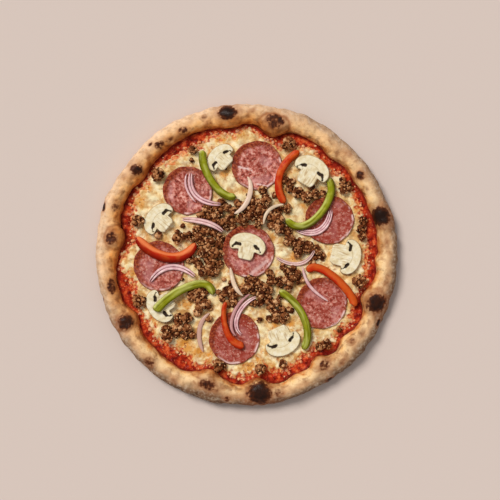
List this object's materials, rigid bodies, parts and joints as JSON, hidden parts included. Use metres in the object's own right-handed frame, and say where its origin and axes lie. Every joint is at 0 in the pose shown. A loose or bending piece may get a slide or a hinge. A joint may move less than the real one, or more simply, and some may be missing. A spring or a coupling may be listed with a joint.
{
  "type": "pizza",
  "caption": "Round hand-stretched pizza with a puffy charred rim, tomato sauce, melted cheese, salami, mushroom, pepper and onion strips and browned mince.",
  "frame": {"origin": "middle of the flat underside, on the surface that the pizza lies on", "axes": "+Z up out of the toppings, +X to the right and +Y up as the pizza is seen from above"},
  "size_m": [0.3095, 0.3095, 0.0224],
  "materials": {
    "crust": "matt baked dough, golden to pale and floury, with dark charred blisters",
    "sauce": "wet glossy deep red tomato sauce",
    "cheese": "satin melted cheese, cream with golden brown patches",
    "salami": "satin dusty red with pale specks of fat and darker edges",
    "mushroom": "matt cream slices with dark brown gills",
    "green_pepper": "glossy green skin with paler flesh",
    "red_pepper": "glossy red skin with orange flesh",
    "onion": "wet pale pink onion with purple skins",
    "mince": "browned rough crumbs"
  },
  "bodies": {
    "root": {"crust": "crust", "sauce": "sauce", "cheese": "cheese", "salami_1": "salami", "salami_2": "salami", "salami_3": "salami", "salami_4": "salami", "salami_5": "salami", "salami_6": "salami", "salami_7": "salami", "mushroom_1": "mushroom", "mushroom_2": "mushroom", "mushroom_3": "mushroom", "mushroom_4": "mushroom", "mushroom_5": "mushroom", "mushroom_6": "mushroom", "mushroom_7": "mushroom", "green_pepper_1": "green_pepper", "green_pepper_2": "green_pepper", "green_pepper_3": "green_pepper", "green_pepper_4": "green_pepper", "red_pepper_1": "red_pepper", "red_pepper_2": "red_pepper", "red_pepper_3": "red_pepper", "red_pepper_4": "red_pepper", "onion_1": "onion", "onion_2": "onion", "onion_3": "onion", "onion_4": "onion", "onion_5": "onion", "onion_6": "onion", "onion_7": "onion", "onion_8": "onion", "onion_9": "onion", "onion_10": "onion", "onion_11": "onion", "onion_12": "onion", "onion_13": "onion", "mince_1": "mince", "mince_2": "mince", "mince_3": "mince", "mince_4": "mince", "mince_5": "mince", "mince_6": "mince", "mince_7": "mince", "mince_8": "mince", "mince_9": "mince", "mince_10": "mince", "mince_11": "mince", "mince_12": "mince", "mince_13": "mince", "mince_14": "mince", "mince_15": "mince", "mince_16": "mince", "mince_17": "mince", "mince_18": "mince", "mince_19": "mince", "mince_20": "mince", "mince_21": "mince", "mince_22": "mince"}
  },
  "joints": []
}
